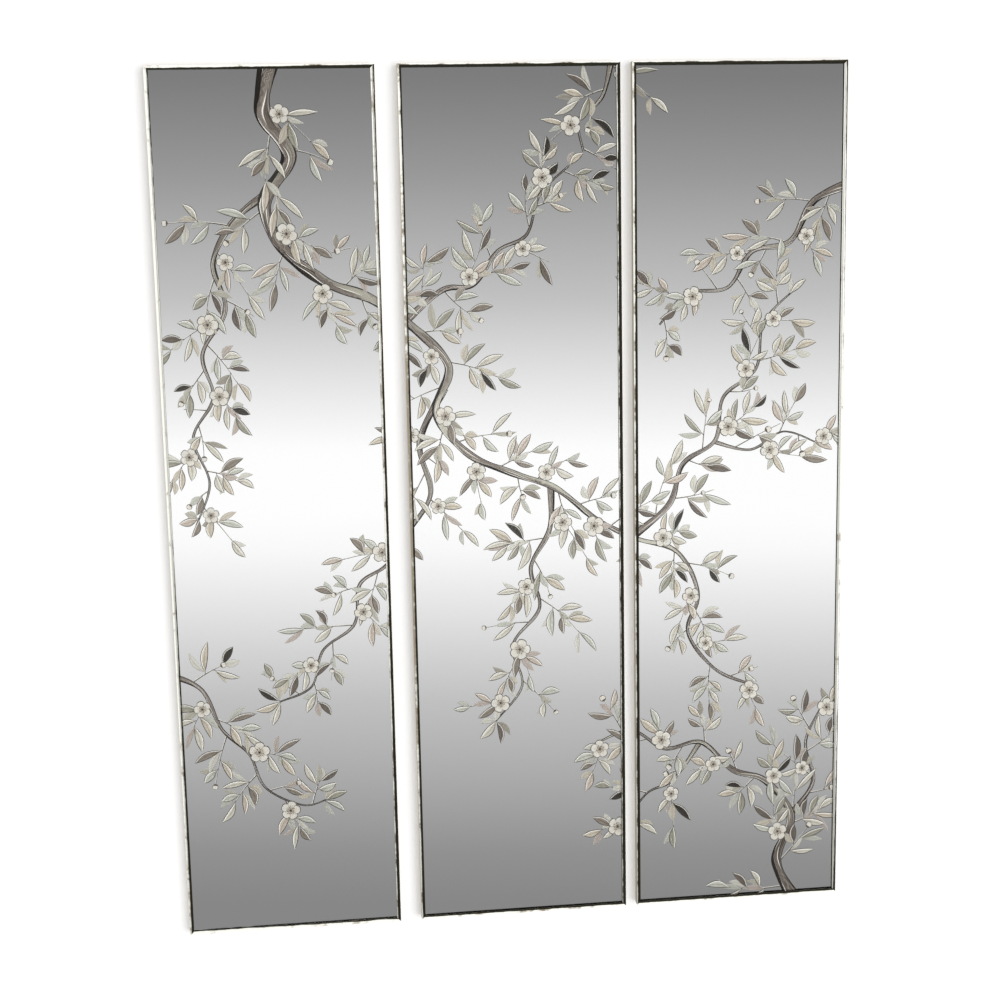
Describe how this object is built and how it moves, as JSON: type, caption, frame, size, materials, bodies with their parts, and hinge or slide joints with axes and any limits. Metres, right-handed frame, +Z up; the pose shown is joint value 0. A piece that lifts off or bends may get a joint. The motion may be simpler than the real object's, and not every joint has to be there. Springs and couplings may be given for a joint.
{
  "type": "triptych mirror",
  "caption": "Tall narrow framed mirror panels, hung side by side from hooked wall bars, with one painted blossom-bough design running behind the glass across the whole set.",
  "frame": {"origin": "at the foot of the set, midway along its whole width and midway through its depth from the frames' front ridge to the wall", "axes": "+X to the right as seen from the front, +Y into the wall, +Z up"},
  "size_m": [1.442, 0.026, 1.83],
  "materials": {
    "frame_brass": "antique, lightly worn, satin",
    "screw_brass": "satin",
    "glass": "clear, polished",
    "blossom_paint": "pale pearl paint with dark outlines",
    "leaf_paint": "pale pearl, beige and taupe paint with dark outlines",
    "bough_paint": "grey-brown paint with streaks",
    "silvering": "silvered",
    "mastic": "matt",
    "rubber": "matt",
    "plywood": "sanded, unfinished",
    "bar_aluminium": "mill finish",
    "screw_steel": "zinc plated"
  },
  "bodies": {
    "wall_bars": {"left_wall_bar": "bar_aluminium", "centre_wall_bar": "bar_aluminium", "right_wall_bar": "bar_aluminium"},
    "left_panel": {"left_top_rail": "frame_brass", "left_bottom_rail": "frame_brass", "left_left_stile": "frame_brass", "left_right_stile": "frame_brass", "left_edge_screws": "screw_brass", "left_glass": "glass", "left_blossoms": "blossom_paint", "left_leaves": "leaf_paint", "left_boughs": "bough_paint", "left_silvering": "silvering", "left_mastic_pads": "mastic", "left_setting_blocks": "rubber", "left_backboard": "plywood", "left_hook_bar": "bar_aluminium", "left_hook_bar_screws": "screw_steel", "left_bumpers": "rubber"},
    "centre_panel": {"centre_top_rail": "frame_brass", "centre_bottom_rail": "frame_brass", "centre_left_stile": "frame_brass", "centre_right_stile": "frame_brass", "centre_edge_screws": "screw_brass", "centre_glass": "glass", "centre_blossoms": "blossom_paint", "centre_leaves": "leaf_paint", "centre_boughs": "bough_paint", "centre_silvering": "silvering", "centre_mastic_pads": "mastic", "centre_setting_blocks": "rubber", "centre_backboard": "plywood", "centre_hook_bar": "bar_aluminium", "centre_hook_bar_screws": "screw_steel", "centre_bumpers": "rubber"},
    "right_panel": {"right_top_rail": "frame_brass", "right_bottom_rail": "frame_brass", "right_left_stile": "frame_brass", "right_right_stile": "frame_brass", "right_edge_screws": "screw_brass", "right_glass": "glass", "right_blossoms": "blossom_paint", "right_leaves": "leaf_paint", "right_boughs": "bough_paint", "right_silvering": "silvering", "right_mastic_pads": "mastic", "right_setting_blocks": "rubber", "right_backboard": "plywood", "right_hook_bar": "bar_aluminium", "right_hook_bar_screws": "screw_steel", "right_bumpers": "rubber"}
  },
  "joints": [
    {"name": "left_panel_lift", "type": "slide", "parent": "wall_bars", "child": "left_panel", "axis": [0, 0, 1], "range_m": [0, 0.012]},
    {"name": "centre_panel_lift", "type": "slide", "parent": "wall_bars", "child": "centre_panel", "axis": [0, 0, 1], "range_m": [0, 0.012]},
    {"name": "right_panel_lift", "type": "slide", "parent": "wall_bars", "child": "right_panel", "axis": [0, 0, 1], "range_m": [0, 0.012]}
  ]
}
